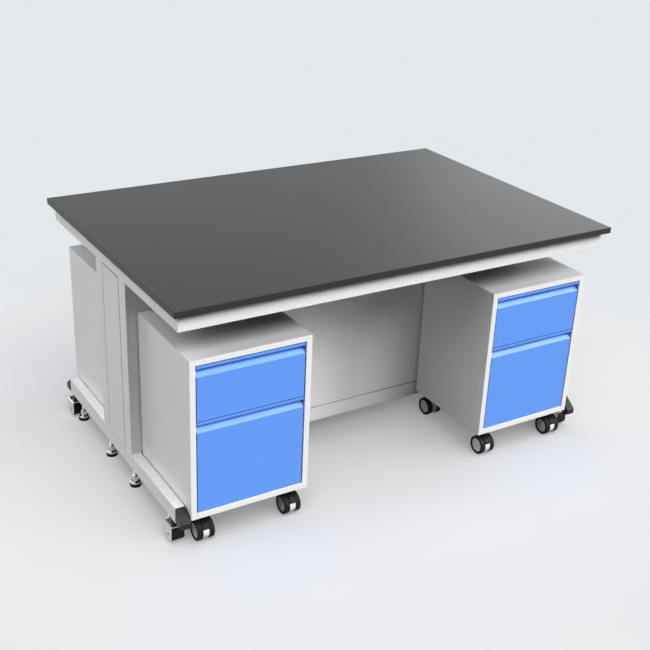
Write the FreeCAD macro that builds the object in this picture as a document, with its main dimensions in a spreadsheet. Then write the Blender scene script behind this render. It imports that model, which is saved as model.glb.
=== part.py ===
import FreeCAD, Part
import os
import re
import Sketcher

# Lab island bench with four mobile pedestals.
# Millimetres, +Z up, +X along the bench, the origin on the floor under the middle of the worktop.

# Driving dimensions, one cell each
SIZES = {
    # whole bench
    "bench_length": 1500,
    "bench_depth": 1000,
    "bench_height": 750,
    "worktop_thickness": 19,
    "worktop_edge_break": 1,
    "end_overhang": 18,
    "side_overhang": 22,
    "spine_depth": 230,
    "fit_clearance": 0.05,
    # rectangular tube of the frame
    "tube_height": 50,
    "tube_width": 30,
    "tube_wall": 2,
    "rail_ground_gap": 70.5,
    # panels of the spine
    "panel_thickness": 18,
    "infill_thickness": 15,
    "seam_width": 2,
    "seam_depth": 3,
    # end caps of the foot rails
    "cap_length": 42,
    "cap_nose_height": 18.5,
    "plug_length": 15,
    "plug_clearance": 0.2,
    # levelling feet
    "foot_inner_offset": 100,
    "foot_outer_inset": 76,
    "foot_pad_diameter": 35,
    "foot_pad_height": 9,
    "foot_pad_bevel": 2,
    "foot_dome_diameter": 31,
    "foot_dome_edge": 6,
    "foot_dome_height": 9,
    "foot_stem_diameter": 10,
    "foot_stem_grip": 12,
    "foot_nut_across": 17,
    "foot_nut_height": 18,
    # fixed castors at the rail ends
    "bench_castor_inset": 28,
    "bench_castor_shift": 6,
    "bench_wheel_diameter": 50,
    "bench_wheel_width": 38,
    "bench_wheel_bevel": 2,
    "fork_length": 58,
    "fork_plate": 2.5,
    "fork_side_clearance": 1,
    "fork_bridge_gap": 4,
    "fork_ground_gap": 8,
    "fork_corner_radius": 14,
    "fork_boss_diameter": 26,
    "bench_axle_diameter": 8,
    "bench_axle_head_diameter": 14,
    "bench_axle_head_height": 3.5,
    # pedestals
    "pedestal_width": 375,
    "pedestal_height": 500,
    "pedestal_setback": 10,
    "pedestal_back_gap": 3,
    "pedestal_end_gap": 4.5,
    "carcass_board": 18,
    "back_board": 12,
    # drawers
    "upper_drawer_height": 175,
    "front_gap": 3,
    "front_setback": 1,
    "pull_bevel": 15,
    "pull_floor": 13,
    "pull_strip": 3,
    "pull_strip_height": 8.5,
    "pull_mouth": 24,
    "drawer_side": 12,
    "drawer_bottom": 5,
    "drawer_lift": 15,
    "drawer_headroom": 45,
    "drawer_back_gap": 6,
    # drawer runners
    "runner_space": 12.7,
    "runner_offset": 30,
    "runner_bar_height": 26,
    "runner_bar_width": 9,
    "runner_wall": 1.5,
    "runner_clearance": 0.3,
    "runner_flange": 9,
    # castors of the pedestals
    "castor_height": 87,
    "castor_side_inset": 46.5,
    "castor_end_inset": 37,
    "castor_trail": 9,
    "castor_wheel_diameter": 62,
    "castor_width": 52,
    "castor_wheel_gap": 20,
    "castor_hub_diameter": 54,
    "castor_hub_recess": 2,
    "castor_axle_diameter": 8,
    "housing_diameter": 58,
    "housing_clearance": 1,
    "housing_neck": 24,
    "hood_diameter": 66,
    "hood_seat": 1,
    "castor_boss_diameter": 28,
    "castor_boss_height": 8,
    "castor_stem_diameter": 11,
    "castor_stem_length": 14,
}

# Angles of the hood above and below the castor's axle, in degrees
HOOD_RISE = "80"
HOOD_DROP = "5"
FULL_TURN = "360"
HALF_TURN = "180"
QUARTER_TURN = "90"

# Sizes and places worked out from the cells
DERIVED = {
    "frame_half_length": "bench_length / 2 - end_overhang",
    "frame_half_depth": "bench_depth / 2 - side_overhang",
    "worktop_bottom": "bench_height - worktop_thickness",
    "frame_bottom": "worktop_bottom - tube_height",
    "rail_top": "rail_ground_gap + tube_height",
    "rail_middle": "frame_half_length - tube_width / 2",
    "rail_inside": "frame_half_length - tube_width",
    "rail_half_length": "frame_half_depth - cap_length",
    "spine_tube_middle": "(spine_depth - tube_width) / 2",
    "post_middle": "(spine_depth - tube_height) / 2",
    "post_height": "frame_bottom - rail_top",
    "infill_width": "spine_depth - 2 * tube_height",
    "fork_half_gap": "bench_wheel_width / 2 + fork_side_clearance",
    "fork_half_width": "fork_half_gap + fork_plate",
    "fork_bridge": "bench_wheel_diameter + fork_bridge_gap",
    "fork_top": "fork_bridge + fork_plate",
    "foot_outer_offset": "rail_half_length - foot_outer_inset",
    "bench_castor_offset": "rail_half_length - bench_castor_inset",
    "bench_castor_middle": "rail_middle + bench_castor_shift",
    "pedestal_depth": "frame_half_depth - pedestal_setback - spine_depth / 2 - pedestal_back_gap",
    "pedestal_middle_x": "rail_inside - pedestal_end_gap - pedestal_width / 2",
    "pedestal_middle_y": "frame_half_depth - pedestal_setback - pedestal_depth / 2",
    "inner_width": "pedestal_width - 2 * carcass_board",
    "opening_bottom": "castor_height + carcass_board",
    "opening_top": "castor_height + pedestal_height - carcass_board",
    "opening_split": "opening_top - upper_drawer_height",
    "lower_drawer_height": "opening_split - opening_bottom",
    "front_depth": "pull_bevel + pull_floor + pull_strip",
    "front_face": "front_setback - pedestal_depth / 2",
    "front_back": "front_face + front_depth",
    "drawer_end": "pedestal_depth / 2 - back_board - drawer_back_gap",
    "box_length": "drawer_end - front_back",
    "box_width": "inner_width - 2 * runner_space",
    "runner_half_height": "runner_bar_height / 2 + runner_clearance",
    "castor_x": "pedestal_width / 2 - castor_side_inset",
    "castor_y": "pedestal_depth / 2 - castor_end_inset",
    "castor_wheel_radius": "castor_wheel_diameter / 2",
    "housing_width": "castor_wheel_gap - 2 * housing_clearance",
}

# Numbers by which a sketch knows the points of an item, its two axes and its origin
START_INDEX, END_INDEX, CENTRE_INDEX = 1, 2, 3
ACROSS_AXIS_INDEX, UP_AXIS_INDEX, ORIGIN_INDEX = -1, -2, -1

doc = FreeCAD.newDocument("lab_island_bench")
sheet = doc.addObject("Spreadsheet::Sheet", "sizes")
for row, (alias, size) in enumerate(SIZES.items(), start=1):
    sheet.set(f"A{row}", alias)
    sheet.set(f"B{row}", str(size))
    sheet.setAlias(f"B{row}", alias)
doc.recompute()
nodes = []


def expand(text):
    """The expression with derived names written out and driving sizes read from their cells."""

    def swap(match):
        word = match.group()
        if word in DERIVED:
            return "(" + expand(DERIVED[word]) + ")"
        return "sizes." + word if word in SIZES else word

    return re.sub(r"[a-z]\w*", swap, text)


def value(text):
    return float(sheet.evalExpression(expand(text)))


def bind(thing, expressions):
    for name, text in expressions.items():
        thing.setExpression(name, expand(text))


def place(thing, x="0", y="0", z="0", turn="0"):
    """Ties a thing's place, and its turn about the vertical, to the cells."""
    names = ("Placement.Base.x", "Placement.Base.y", "Placement.Base.z", "Placement.Rotation.Yaw")
    bind(thing, dict(zip(names, (x, y, z, turn))))
    return thing


def new_body(name):
    return doc.addObject("PartDesign::Body", name)


def new_sketch(body, plane, across="0", along="0", up="0"):
    """A sketch on one of the body's origin planes, moved by offsets in the plane's own directions."""
    sketch = body.newObject("Sketcher::SketchObject", body.Name + "_sketch")
    origin_plane = next(f for f in body.Origin.OriginFeatures if f.Role == plane)
    sketch.AttachmentSupport = [(origin_plane, "")]
    sketch.MapMode = "FlatFace"
    names = ("AttachmentOffset.Base.x", "AttachmentOffset.Base.y", "AttachmentOffset.Base.z")
    bind(sketch, dict(zip(names, (across, along, up))))
    return sketch


def pin(sketch, item, point, u, v):
    """Holds a point of the sketch at two expressions, measured from the sketch's origin."""
    for kind, axis, text in (("DistanceX", UP_AXIS_INDEX, u), ("DistanceY", ACROSS_AXIS_INDEX, v)):
        if text == "0":
            sketch.addConstraint(Sketcher.Constraint("PointOnObject", item, point, axis))
            continue
        held = Sketcher.Constraint(kind, ORIGIN_INDEX, START_INDEX, item, point, value(text))
        index = sketch.addConstraint(held)
        sketch.setExpression(f"Constraints[{index}]", expand(text))


def draw_outline(sketch, points):
    """A closed run of straight lines through points given as pairs of expressions."""
    first = sketch.GeometryCount
    corners = [FreeCAD.Vector(value(u), value(v), 0) for u, v in points]
    following = corners[1:] + corners[:1]
    for corner, after in zip(corners, following):
        sketch.addGeometry(Part.LineSegment(corner, after))
    for index in range(len(points)):
        joined = first + (index + 1) % len(points)
        sketch.addConstraint(Sketcher.Constraint("Coincident", first + index, END_INDEX, joined, START_INDEX))
    for index, (u, v) in enumerate(points):
        pin(sketch, first + index, START_INDEX, u, v)


def draw_rectangle(sketch, left, right, low, high):
    draw_outline(sketch, [(left, low), (right, low), (right, high), (left, high)])


def draw_circle(sketch, u, v, diameter):
    item = sketch.GeometryCount
    centre = FreeCAD.Vector(value(u), value(v), 0)
    sketch.addGeometry(Part.Circle(centre, FreeCAD.Vector(0, 0, 1), value(diameter) / 2))
    pin(sketch, item, CENTRE_INDEX, u, v)
    index = sketch.addConstraint(Sketcher.Constraint("Diameter", item, value(diameter)))
    sketch.setExpression(f"Constraints[{index}]", expand(diameter))


def pad(body, sketch, length, both_ways=False, backwards=False):
    feature = body.newObject("PartDesign::Pad", body.Name + "_pad")
    feature.Profile = sketch
    feature.SideType = "Symmetric" if both_ways else "One side"
    feature.Reversed = backwards
    bind(feature, {"Length": length})
    return feature


def cut_through(body, sketch, both_ways=True):
    feature = body.newObject("PartDesign::Pocket", body.Name + "_pocket")
    feature.Profile = sketch
    feature.SideType = "Symmetric" if both_ways else "One side"
    feature.Type = "ThroughAll"
    return feature


def revolve(body, sketch, axis):
    feature = body.newObject("PartDesign::Revolution", body.Name + "_revolution")
    feature.Profile = sketch
    feature.ReferenceAxis = (sketch, [axis])
    bind(feature, {"Angle": FULL_TURN})
    return feature


def board(name, size, x, y, z):
    """A square-edged board: its length, width and height, and its lowest corner."""
    panel = doc.addObject("Part::Box", name)
    bind(panel, dict(zip(("Length", "Width", "Height"), size)))
    return place(panel, x, y, z)


def link(source, name, x="0", y="0", z="0", turn="0"):
    """A copy of a piece that stays linked to it."""
    copy = doc.addObject("App::Link", name)
    copy.LinkedObject = source
    return place(copy, x, y, z, turn)


def group(name, pieces):
    whole = doc.addObject("Part::Compound", name)
    whole.Links = pieces
    return whole


def add_node(piece, label):
    piece.Label = label
    nodes.append(piece)


def tube(name, plane, across, along, length):
    """A straight rectangular tube, its middle at the origin, square to the plane."""
    body = new_body(name)
    sketch = new_sketch(body, plane)
    for inset in ("0", "tube_wall"):
        half_u, half_v = f"{across} / 2 - {inset}", f"{along} / 2 - {inset}"
        draw_rectangle(sketch, f"-({half_u})", half_u, f"-({half_v})", half_v)
    pad(body, sketch, length, both_ways=True)
    return body


# Worktop

def make_worktop():
    body = new_body("worktop")
    sketch = new_sketch(body, "XY_Plane")
    draw_rectangle(sketch, "-bench_length / 2", "bench_length / 2", "-bench_depth / 2", "bench_depth / 2")
    slab = pad(body, sketch, "worktop_thickness")
    doc.recompute()
    edges = body.newObject("PartDesign::Chamfer", "worktop_edges")
    edges.Base = (slab, [f"Edge{i}" for i in range(1, len(slab.Shape.Edges) + 1)])
    bind(edges, {"Size": "worktop_edge_break"})
    add_node(place(body, z="worktop_bottom"), "worktop")


# Top frame: four mitred tubes and two spine tubes

def mitred_rail(name, half_length):
    """A tube along X with its outer face on y = 0 and both ends mitred inwards."""
    body = new_body(name)
    plan = new_sketch(body, "XY_Plane")
    short_half = f"{half_length} - tube_width"
    draw_outline(
        plan,
        [
            (f"-{half_length}", "0"),
            (half_length, "0"),
            (short_half, "tube_width"),
            (f"-({short_half})", "tube_width"),
        ],
    )
    pad(body, plan, "tube_height")
    bore = new_sketch(body, "YZ_Plane")
    draw_rectangle(bore, "tube_wall", "tube_width - tube_wall", "tube_wall", "tube_height - tube_wall")
    cut_through(body, bore)
    return body


def make_top_frame():
    long_rail = mitred_rail("long_top_rail", "frame_half_length")
    short_rail = mitred_rail("short_top_rail", "frame_half_depth")
    spine_tube = tube("spine_tube", "YZ_Plane", "tube_width", "tube_height", "2 * rail_inside")
    spine_height = "frame_bottom + tube_height / 2"
    pieces = [
        link(long_rail, "front_top_rail", y="-frame_half_depth", z="frame_bottom"),
        link(long_rail, "rear_top_rail", y="frame_half_depth", z="frame_bottom", turn=HALF_TURN),
        link(short_rail, "left_top_rail", x="-frame_half_length", z="frame_bottom", turn="-" + QUARTER_TURN),
        link(short_rail, "right_top_rail", x="frame_half_length", z="frame_bottom", turn=QUARTER_TURN),
        link(spine_tube, "front_spine_tube", y="-spine_tube_middle", z=spine_height),
        link(spine_tube, "rear_spine_tube", y="spine_tube_middle", z=spine_height),
    ]
    add_node(group("top_frame_tubes", pieces), "top_frame")


# End frames, stretchers and the panels of the spine

def make_foot_rail():
    rail = tube("foot_rail", "XZ_Plane", "tube_width", "tube_height", "2 * rail_half_length")
    holes = new_sketch(rail, "XY_Plane")
    for offset in ("foot_inner_offset", "foot_outer_offset"):
        for side in ("", "-"):
            draw_circle(holes, "0", side + offset, "foot_stem_diameter + 2 * fit_clearance")
    cut_through(rail, holes, both_ways=False)
    return rail


def make_end_frames():
    rail = make_foot_rail()
    post = tube("post", "XY_Plane", "tube_width", "tube_height", "post_height")
    for end, side in (("left", "-"), ("right", "")):
        x = side + "rail_middle"
        pieces = [link(rail, end + "_foot_rail", x=x, z="rail_ground_gap + tube_height / 2")]
        for row, sign in (("front", "-"), ("rear", "")):
            post_name = f"{end}_{row}_post"
            pieces.append(link(post, post_name, x=x, y=sign + "post_middle", z="rail_top + post_height / 2"))
        add_node(group(end + "_end_tubes", pieces), "end_frame_" + end)


def make_infill_panels():
    """End panels between the posts, with a narrow rebate round the outer face."""
    body = new_body("infill_panel")
    core = new_sketch(body, "YZ_Plane")
    draw_rectangle(core, "-infill_width / 2", "infill_width / 2", "0", "post_height")
    pad(body, core, "infill_thickness - seam_depth")
    face = new_sketch(body, "YZ_Plane", up="infill_thickness - seam_depth")
    half_face = "infill_width / 2 - seam_width"
    draw_rectangle(face, f"-({half_face})", half_face, "seam_width", "post_height - seam_width")
    pad(body, face, "seam_depth")
    x = "frame_half_length - infill_thickness"
    pieces = [
        link(body, "left_infill", x=f"-({x})", z="rail_top", turn=HALF_TURN),
        link(body, "right_infill", x=x, z="rail_top"),
    ]
    add_node(group("infill_panels", pieces), "end_infill_panels")


def make_centre_panels():
    panel_size = ("2 * rail_inside", "panel_thickness", "post_height")
    front = board("front_centre_panel", panel_size, "-rail_inside", "-spine_depth / 2", "rail_top")
    rear = link(front, "rear_centre_panel", "rail_inside", "spine_depth / 2", "rail_top", HALF_TURN)
    add_node(group("centre_panel_pair", [front, rear]), "centre_panels")


def make_stretchers():
    stretcher = tube("stretcher", "YZ_Plane", "tube_width", "tube_height", "2 * rail_inside")
    z = "rail_ground_gap + tube_height / 2"
    pieces = [
        link(stretcher, "front_stretcher", y="-spine_tube_middle", z=z),
        link(stretcher, "rear_stretcher", y="spine_tube_middle", z=z),
    ]
    add_node(group("stretcher_pair", pieces), "lower_stretchers")


def make_rail_caps():
    """Wedge caps that slope down from the rail's top to a low nose, plugged into the tube."""
    body = new_body("rail_cap")
    wedge = new_sketch(body, "YZ_Plane")
    draw_outline(
        wedge,
        [("0", "0"), ("-cap_length", "0"), ("-cap_length", "cap_nose_height"), ("0", "tube_height")],
    )
    pad(body, wedge, "tube_width", both_ways=True)
    plug = new_sketch(body, "XZ_Plane")
    inset = "tube_wall + plug_clearance"
    half_plug = f"tube_width / 2 - ({inset})"
    draw_rectangle(plug, f"-({half_plug})", half_plug, inset, f"tube_height - ({inset})")
    pad(body, plug, "plug_length", backwards=True)
    pieces = []
    for end, side in (("left", "-"), ("right", "")):
        x = side + "rail_middle"
        pieces.append(link(body, f"{end}_front_cap", x, "-rail_half_length", "rail_ground_gap"))
        pieces.append(link(body, f"{end}_rear_cap", x, "rail_half_length", "rail_ground_gap", HALF_TURN))
    add_node(group("rail_caps", pieces), "foot_rail_caps")


# Levelling feet

def make_levelling_feet():
    stem = new_body("foot_stem")
    profile = new_sketch(stem, "XZ_Plane")
    stem_top = "rail_ground_gap + tube_wall + foot_stem_grip"
    draw_outline(
        profile,
        [
            ("0", "foot_pad_height"),
            ("foot_dome_diameter / 2", "foot_pad_height"),
            ("foot_dome_diameter / 2", "foot_pad_height + foot_dome_edge"),
            ("foot_stem_diameter / 2", "foot_pad_height + foot_dome_height"),
            ("foot_stem_diameter / 2", stem_top),
            ("0", stem_top),
        ],
    )
    revolve(stem, profile, "V_Axis")

    hexagon = doc.addObject("Part::Prism", "foot_nut_hexagon")
    bind(hexagon, {"Circumradius": "foot_nut_across / sqrt(3)", "Height": "foot_nut_height"})
    hole = doc.addObject("Part::Cylinder", "foot_nut_hole")
    bind(hole, {"Radius": "foot_stem_diameter / 2 + fit_clearance", "Height": "foot_nut_height"})
    nut = doc.addObject("Part::Cut", "foot_nut")
    nut.Base = hexagon
    nut.Tool = hole

    pad_body = new_body("foot_pad")
    pad_profile = new_sketch(pad_body, "XZ_Plane")
    pad_radius = "foot_pad_diameter / 2"
    draw_outline(
        pad_profile,
        [
            ("0", "0"),
            (pad_radius, "0"),
            (pad_radius, "foot_pad_height - foot_pad_bevel"),
            (f"{pad_radius} - foot_pad_bevel", "foot_pad_height"),
            ("0", "foot_pad_height"),
        ],
    )
    revolve(pad_body, pad_profile, "V_Axis")

    metal, rubber = [], []
    for x in ("-rail_middle", "rail_middle"):
        for offset in ("foot_inner_offset", "foot_outer_offset"):
            for sign in ("-", ""):
                y = sign + offset
                metal.append(link(stem, "placed_stem", x, y))
                metal.append(link(nut, "placed_nut", x, y, "foot_pad_height + foot_dome_height"))
                rubber.append(link(pad_body, "placed_pad", x, y))
    add_node(group("foot_metal", metal), "levelling_feet")
    add_node(group("foot_rubber", rubber), "levelling_foot_pads")


# Fixed castors at the ends of the foot rails

def make_bench_fork():
    """A bent fork with a boss that meets the rail, its origin on the floor below the axle."""
    body = new_body("bench_fork")
    bend = new_sketch(body, "XZ_Plane")
    draw_outline(
        bend,
        [
            ("-fork_half_width", "fork_ground_gap"),
            ("-fork_half_gap", "fork_ground_gap"),
            ("-fork_half_gap", "fork_bridge"),
            ("fork_half_gap", "fork_bridge"),
            ("fork_half_gap", "fork_ground_gap"),
            ("fork_half_width", "fork_ground_gap"),
            ("fork_half_width", "fork_top"),
            ("-fork_half_width", "fork_top"),
        ],
    )
    plates = pad(body, bend, "fork_length", both_ways=True)
    doc.recompute()
    low = value("fork_ground_gap")
    corners = []
    for index, edge in enumerate(plates.Shape.Edges, start=1):
        box = edge.BoundBox
        if abs(box.ZMax - low) < Part.Precision.confusion() and box.XLength > box.YLength:
            corners.append(f"Edge{index}")
    rounding = body.newObject("PartDesign::Fillet", "fork_corners")
    rounding.Base = (plates, corners)
    bind(rounding, {"Radius": "fork_corner_radius"})
    boss = new_sketch(body, "XY_Plane", up="fork_top")
    draw_circle(boss, "0", "0", "fork_boss_diameter")
    pad(body, boss, "rail_ground_gap - fork_top")
    bore = new_sketch(body, "YZ_Plane")
    draw_circle(bore, "0", "bench_wheel_diameter / 2", "bench_axle_diameter + 2 * fit_clearance")
    cut_through(body, bore)
    return body


def make_bench_axle():
    """A headed pin, its head on the outer plate and its other end flush with the inner plate."""
    body = new_body("bench_axle")
    profile = new_sketch(body, "XY_Plane")
    head_end = "-(fork_half_width + bench_axle_head_height)"
    draw_outline(
        profile,
        [
            (head_end, "0"),
            (head_end, "bench_axle_head_diameter / 2"),
            ("-fork_half_width", "bench_axle_head_diameter / 2"),
            ("-fork_half_width", "bench_axle_diameter / 2"),
            ("fork_half_width", "bench_axle_diameter / 2"),
            ("fork_half_width", "0"),
        ],
    )
    revolve(body, profile, "H_Axis")
    return body


def make_bench_wheel():
    body = new_body("bench_wheel")
    profile = new_sketch(body, "XY_Plane")
    half_width = "bench_wheel_width / 2"
    radius = "bench_wheel_diameter / 2"
    bore_radius = "bench_axle_diameter / 2 + fit_clearance"
    draw_outline(
        profile,
        [
            (f"-{half_width}", bore_radius),
            (f"-{half_width}", f"{radius} - bench_wheel_bevel"),
            (f"bench_wheel_bevel - {half_width}", radius),
            (f"{half_width} - bench_wheel_bevel", radius),
            (half_width, f"{radius} - bench_wheel_bevel"),
            (half_width, bore_radius),
        ],
    )
    revolve(body, profile, "H_Axis")
    return body


def make_bench_castors():
    fork, axle, wheel = make_bench_fork(), make_bench_axle(), make_bench_wheel()
    forks, axles = [], []
    for row, sign in (("front", "-"), ("rear", "")):
        for end, side, turn in (("left", "-", "0"), ("right", "", HALF_TURN)):
            x, y = side + "bench_castor_middle", sign + "bench_castor_offset"
            axle_height = "bench_wheel_diameter / 2"
            corner = f"{row}_{end}"
            forks.append(link(fork, corner + "_fork", x, y, turn=turn))
            axles.append(link(axle, corner + "_axle", x, y, axle_height, turn))
            add_node(link(wheel, corner + "_wheel", x, y, axle_height), corner + "_bench_wheel")
    add_node(group("fork_set", forks), "bench_castor_forks")
    add_node(group("axle_set", axles), "bench_castor_axles")


# Pedestal carcass with its runner channels, its origin on the floor below its middle

def make_channel(name):
    """A runner channel open towards the middle of the pedestal, fixed to its left side."""
    body = new_body(name)
    profile = new_sketch(body, "XZ_Plane")
    outside = "runner_half_height + runner_wall"
    draw_outline(
        profile,
        [
            ("0", f"-({outside})"),
            ("runner_flange", f"-({outside})"),
            ("runner_flange", "-runner_half_height"),
            ("runner_wall", "-runner_half_height"),
            ("runner_wall", "runner_half_height"),
            ("runner_flange", "runner_half_height"),
            ("runner_flange", outside),
            ("0", outside),
        ],
    )
    pad(body, profile, "box_length", backwards=True)
    return body


def make_bottom_board():
    """The carcass bottom, bored for the four castor stems."""
    body = new_body("bottom_board")
    sketch = new_sketch(body, "XY_Plane", up="castor_height")
    half_depth = "pedestal_depth / 2"
    draw_rectangle(sketch, "-inner_width / 2", "inner_width / 2", f"-{half_depth}", half_depth)
    for x in ("-castor_x", "castor_x"):
        for y in ("-castor_y", "castor_y"):
            draw_circle(sketch, x, y, "castor_stem_diameter + 2 * fit_clearance")
    pad(body, sketch, "carcass_board")
    return body


def make_carcass():
    half_width, half_depth = "pedestal_width / 2", "pedestal_depth / 2"
    inner_left, inner_height = "-inner_width / 2", "pedestal_height - 2 * carcass_board"
    side_size = ("carcass_board", "pedestal_depth", "pedestal_height")
    top_size = ("inner_width", "pedestal_depth", "carcass_board")
    back_size = ("inner_width", "back_board", inner_height)
    pieces = [
        board("left_side", side_size, f"-{half_width}", f"-{half_depth}", "castor_height"),
        board("right_side", side_size, f"{half_width} - carcass_board", f"-{half_depth}", "castor_height"),
        board("carcass_top", top_size, inner_left, f"-{half_depth}", "opening_top"),
        board("carcass_back", back_size, inner_left, f"{half_depth} - back_board", "opening_bottom"),
        make_bottom_board(),
    ]
    channel = make_channel("runner_channel")
    for drawer, bottom in (("upper", "opening_split"), ("lower", "opening_bottom")):
        z = f"{bottom} + drawer_lift + runner_offset"
        y, far_y = "front_back", "drawer_end"
        pieces.append(link(channel, drawer + "_left_channel", inner_left, y, z))
        pieces.append(link(channel, drawer + "_right_channel", "inner_width / 2", far_y, z, HALF_TURN))
    return group("carcass", pieces)


# Drawers, each with a front whose sloping lip and recess under a narrow strip make the finger pull

def make_drawer_front(name, height):
    body = new_body(name)
    section = new_sketch(body, "YZ_Plane")
    top = f"{height} - front_gap"
    strip_bottom = f"{top} - pull_strip_height"
    lip = f"{strip_bottom} - pull_mouth"
    recess_floor, recess_top = f"{lip} + pull_bevel", f"{top} - pull_strip"
    recess_back = "pull_bevel + pull_floor"
    draw_outline(
        section,
        [
            ("0", "front_gap"),
            ("0", lip),
            ("pull_bevel", recess_floor),
            (recess_back, recess_floor),
            (recess_back, recess_top),
            ("pull_strip", recess_top),
            ("pull_strip", strip_bottom),
            ("0", strip_bottom),
            ("0", top),
            ("front_depth", top),
            ("front_depth", "front_gap"),
        ],
    )
    pad(body, section, "inner_width - 2 * front_gap", both_ways=True)
    return body


def make_drawer(drawer, bottom, height):
    """A drawer with its front, box and runner bars, placed inside the pedestal."""
    front = make_drawer_front(drawer + "_front", height)
    low = f"{bottom} + drawer_lift"
    box_height = f"{height} - drawer_lift - drawer_headroom"
    half_box, inner_half = "box_width / 2", "box_width / 2 - drawer_side"
    inner_box = "box_width - 2 * drawer_side"
    side_size = ("drawer_side", "box_length", box_height)
    back_size = (inner_box, "drawer_side", box_height)
    floor_size = (inner_box, "box_length - drawer_side", "drawer_bottom")
    bar_size = ("runner_bar_width", "box_length", "runner_bar_height")
    bar_low = f"{low} + runner_offset - runner_bar_height / 2"
    pieces = [
        place(front, y="front_face", z=bottom),
        board(drawer + "_left_side", side_size, f"-{half_box}", "front_back", low),
        board(drawer + "_right_side", side_size, inner_half, "front_back", low),
        board(drawer + "_back", back_size, f"-({inner_half})", "drawer_end - drawer_side", low),
        board(drawer + "_floor", floor_size, f"-({inner_half})", "front_back", low),
        board(drawer + "_left_bar", bar_size, f"-{half_box} - runner_bar_width", "front_back", bar_low),
        board(drawer + "_right_bar", bar_size, half_box, "front_back", bar_low),
    ]
    return group(drawer + "_drawer", pieces)


# Castors of the pedestals, with the stem's axis as their own vertical

def make_castor_fork():
    """A disc-shaped housing between the wheels, with its hood, neck, boss and stem in one moulding."""
    body = new_body("castor_fork")
    axle_y = "-castor_trail"
    disc = new_sketch(body, "YZ_Plane")
    draw_circle(disc, axle_y, "castor_wheel_radius", "housing_diameter")
    pad(body, disc, "housing_width", both_ways=True)
    neck = new_sketch(body, "YZ_Plane")
    boss_bottom = "castor_height - castor_boss_height"
    draw_rectangle(neck, "-housing_neck / 2", "housing_neck / 2", "castor_wheel_radius", boss_bottom)
    pad(body, neck, "housing_width", both_ways=True)
    hood = new_sketch(body, "XY_Plane", along=axle_y, up="castor_wheel_radius")
    hood_inside = "housing_diameter / 2 - hood_seat"
    draw_rectangle(
        hood, "-housing_width / 2", "housing_width / 2", "-hood_diameter / 2", f"-({hood_inside})"
    )
    arch = revolve(body, hood, "H_Axis")
    arch.Type = "TwoAngles"
    bind(arch, {"Angle": HOOD_DROP, "Angle2": HOOD_RISE})
    boss = new_sketch(body, "XY_Plane", up=boss_bottom)
    draw_circle(boss, "0", "0", "castor_boss_diameter")
    pad(body, boss, "castor_boss_height")
    stem = new_sketch(body, "XY_Plane", up="castor_height")
    draw_circle(stem, "0", "0", "castor_stem_diameter")
    pad(body, stem, "castor_stem_length")
    bore = new_sketch(body, "YZ_Plane")
    draw_circle(bore, axle_y, "castor_wheel_radius", "castor_axle_diameter + 2 * fit_clearance")
    cut_through(body, bore)
    return body


def make_castor_wheels():
    """Two wheels on one axle along X, each with a shallow recess in its outer face."""
    body = new_body("castor_wheels")
    profile = new_sketch(body, "XY_Plane")
    half_width, half_gap = "castor_width / 2", "castor_wheel_gap / 2"
    hub_face = f"{half_width} - castor_hub_recess"
    hub_radius, axle_radius = "castor_hub_diameter / 2", "castor_axle_diameter / 2"
    right_half = [
        (half_gap, axle_radius),
        (half_gap, "castor_wheel_radius"),
        (half_width, "castor_wheel_radius"),
        (half_width, hub_radius),
        (hub_face, hub_radius),
        (hub_face, "0"),
    ]
    left_half = [(f"-({x})", radius) for x, radius in reversed(right_half)]
    draw_outline(profile, right_half + left_half)
    revolve(body, profile, "H_Axis")
    return body


def make_pedestals():
    carcass = make_carcass()
    drawers = {
        "upper_drawer": make_drawer("upper", "opening_split", "upper_drawer_height"),
        "lower_drawer": make_drawer("lower", "opening_bottom", "lower_drawer_height"),
    }
    fork, wheels = make_castor_fork(), make_castor_wheels()
    for row, row_sign, turn in (("front", "-", "0"), ("rear", "", HALF_TURN)):
        for end, end_sign in (("left", "-"), ("right", "")):
            pedestal = f"{row}_{end}"
            x, y = end_sign + "pedestal_middle_x", row_sign + "pedestal_middle_y"
            add_node(link(carcass, pedestal + "_box", x, y, turn=turn), pedestal + "_carcass")
            for name, drawer in drawers.items():
                add_node(link(drawer, f"{pedestal}_{name}", x, y, turn=turn), f"{pedestal}_{name}")
            add_castors(pedestal, x, y, end, fork, wheels)


def add_castors(pedestal, x, y, end, fork, wheels):
    """Four castors whose wheels trail away from the pedestal's middle."""
    outward, inward = ("-", "+") if end == "left" else ("+", "-")
    for side, x_sign in (("outer", outward), ("inner", inward)):
        for row, y_sign, turn in (("front", "-", "0"), ("rear", "+", HALF_TURN)):
            castor = f"{pedestal}_{side}_{row}_castor"
            castor_x, castor_y = f"{x} {x_sign} castor_x", f"{y} {y_sign} castor_y"
            add_node(link(fork, castor + "_moulding", castor_x, castor_y, turn=turn), castor + "_fork")
            wheel_y = f"{castor_y} {y_sign} castor_trail"
            wheel = link(wheels, castor + "_pair", castor_x, wheel_y, "castor_wheel_radius")
            add_node(wheel, castor + "_wheels")


def write_parts():
    """Checks every object and shape, then writes one file for each node."""
    doc.recompute()
    for thing in doc.Objects:
        if "Invalid" in thing.State or "Error" in thing.State:
            raise RuntimeError(f"{thing.Name} failed: {thing.State}")
    shapes = {piece.Label: Part.getShape(piece) for piece in nodes}
    for label, shape in shapes.items():
        if shape.isNull() or not shape.isValid() or not shape.Solids:
            raise RuntimeError(f"{label} has no sound shape")
    os.makedirs("parts", exist_ok=True)
    for label, shape in shapes.items():
        shape.exportStep(f"parts/{label}.step")
    print(len(shapes), "nodes,", sum(len(shape.Solids) for shape in shapes.values()), "solids")


make_worktop()
make_top_frame()
make_end_frames()
make_infill_panels()
make_centre_panels()
make_stretchers()
make_rail_caps()
make_levelling_feet()
make_bench_castors()
make_pedestals()
write_parts()
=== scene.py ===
import math

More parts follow.
